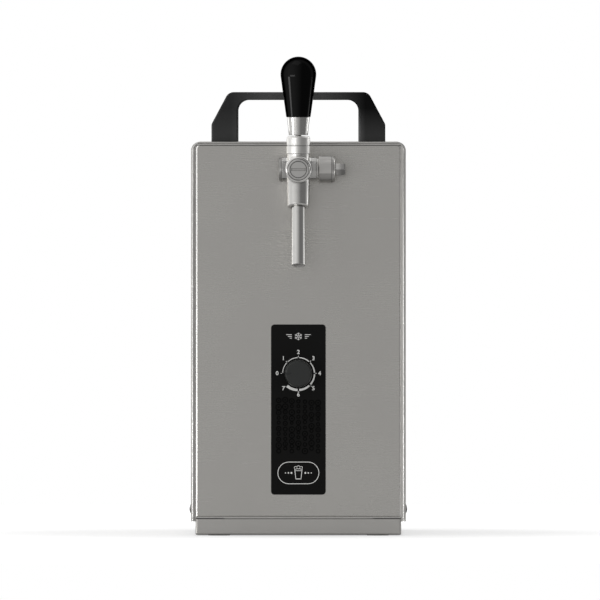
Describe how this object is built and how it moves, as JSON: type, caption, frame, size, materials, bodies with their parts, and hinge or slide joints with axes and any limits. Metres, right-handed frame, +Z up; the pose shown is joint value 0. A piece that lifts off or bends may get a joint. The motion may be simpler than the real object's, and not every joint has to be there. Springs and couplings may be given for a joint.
{
  "type": "draft beer dispenser",
  "caption": "Countertop dry-cooled draft beer dispenser: upright steel case with two carrying handles, lever tap with side flow adjuster, and temperature dial.",
  "frame": {"origin": "middle of the surface the rubber feet stand on, under the centre of the case", "axes": "+X to the right seen from the front, +Y to the rear, the front faces -Y, +Z up"},
  "size_m": [0.1754, 0.369, 0.3856],
  "materials": {
    "brushed_stainless": "brushed stainless sheet",
    "stainless_tube": "drawn stainless tube",
    "zinc_steel": "zinc-plated steel",
    "dark_screw_steel": "blackened screw steel",
    "chromed_brass": "polished chrome on brass",
    "satin_steel": "satin turned steel",
    "black_moulding": "fine-textured black moulding",
    "dial_plastic": "dark grey moulding",
    "label_black": "matt black plate with pale print",
    "grip_gloss": "polished black phenolic",
    "black_rubber": "black rubber",
    "compressor_paint": "black enamel",
    "copper_tube": "drawn copper",
    "cast_aluminium": "milled aluminium",
    "white_foam": "moulded foam",
    "grey_plastic": "grey moulding",
    "collet_plastic": "blue release ring",
    "contact_brass": "plated contact"
  },
  "bodies": {
    "case": {"base_tray": "brushed_stainless", "rubber_feet": "black_rubber", "side_rails": "zinc_steel", "front_panel": "brushed_stainless", "rear_panel": "brushed_stainless", "jacket": "brushed_stainless", "jacket_screws": "dark_screw_steel", "rear_screws": "zinc_steel", "front_handle": "black_moulding", "rear_handle": "black_moulding", "handle_screws": "zinc_steel", "control_label": "label_black", "thermostat_body": "grey_plastic", "thermostat_nut": "zinc_steel", "sensor_bulb": "copper_tube", "tap_shank": "chromed_brass", "shank_lock_nut": "chromed_brass", "shank_seal": "black_rubber", "coupling_nut": "chromed_brass", "tap_body": "chromed_brass", "spout_tube": "chromed_brass", "front_plug": "chromed_brass", "collar_nut": "chromed_brass", "compensator_cap": "satin_steel", "compensator_bonnet": "satin_steel", "insulation_shell": "white_foam", "insulation_lid": "white_foam", "cooling_block": "cast_aluminium", "beer_coil": "stainless_tube", "evaporator_coil": "copper_tube", "compressor": "compressor_paint", "compressor_grommets": "black_rubber", "condenser_tube": "copper_tube", "condenser_fins": "cast_aluminium", "discharge_tube": "copper_tube", "filter_drier": "copper_tube", "capillary_tube": "copper_tube", "fan_frame": "black_moulding", "air_pump": "black_moulding", "air_hose": "black_rubber", "beer_inlet_fitting": "grey_plastic", "air_outlet_fitting": "grey_plastic", "power_inlet": "black_moulding", "inlet_pins": "contact_brass", "switch_housing": "black_moulding"},
    "lever": {"lever_stem": "satin_steel", "lever_ferrule": "chromed_brass", "lever_grip": "grip_gloss"},
    "piston": {"tap_piston": "satin_steel", "piston_seals": "black_rubber"},
    "adjuster": {"compensator_knob": "satin_steel", "compensator_end_nut": "satin_steel", "compensator_spindle": "satin_steel"},
    "cone": {"compensator_cone": "grey_plastic"},
    "dial": {"thermostat_knob": "dial_plastic", "thermostat_shaft": "satin_steel"},
    "fan": {"fan_rotor": "black_moulding"},
    "rocker": {"switch_rocker": "black_moulding"},
    "beer_collet": {"beer_inlet_collet": "collet_plastic"},
    "air_collet": {"air_outlet_collet": "collet_plastic"}
  },
  "joints": [
    {"name": "lever_tilt", "type": "hinge", "parent": "case", "child": "lever", "pos_m": [0, -0.18635, 0.308], "axis": [1, 0, 0], "range_deg": [0, 18]},
    {"name": "piston_slide", "type": "slide", "parent": "case", "child": "piston", "axis": [0, 1, 0], "range_m": [-0.0001, 0.00365]},
    {"name": "compensator_turn", "type": "hinge", "parent": "case", "child": "adjuster", "pos_m": [0, -0.16235, 0.2949], "axis": [1, 0, 0], "range_deg": [0, 330]},
    {"name": "cone_slide", "type": "slide", "parent": "case", "child": "cone", "axis": [-1, 0, 0], "range_m": [0, 0.00285]},
    {"name": "thermostat_turn", "type": "hinge", "parent": "case", "child": "dial", "pos_m": [0, -0.1392, 0.1306], "axis": [0, 1, 0], "range_deg": [0, 315]},
    {"name": "fan_spin", "type": "hinge", "parent": "case", "child": "fan", "pos_m": [0, 0.125, 0.2225], "axis": [0, 1, 0], "continuous": true},
    {"name": "switch_rock", "type": "hinge", "parent": "case", "child": "rocker", "pos_m": [-0.055, 0.1384, 0.086], "axis": [1, 0, 0], "range_deg": [-18, 0]},
    {"name": "beer_collet_press", "type": "slide", "parent": "case", "child": "beer_collet", "axis": [0, -1, 0], "range_m": [0, 0.001], "stiffness_N_per_m": 300},
    {"name": "air_collet_press", "type": "slide", "parent": "case", "child": "air_collet", "axis": [0, -1, 0], "range_m": [0, 0.001], "stiffness_N_per_m": 300}
  ],
  "couplings": [
    {"joint": "piston_slide", "follows": "lever_tilt", "m_per_rad": 0.011312},
    {"joint": "cone_slide", "follows": "compensator_turn", "m_per_rad": 0.0004775}
  ]
}
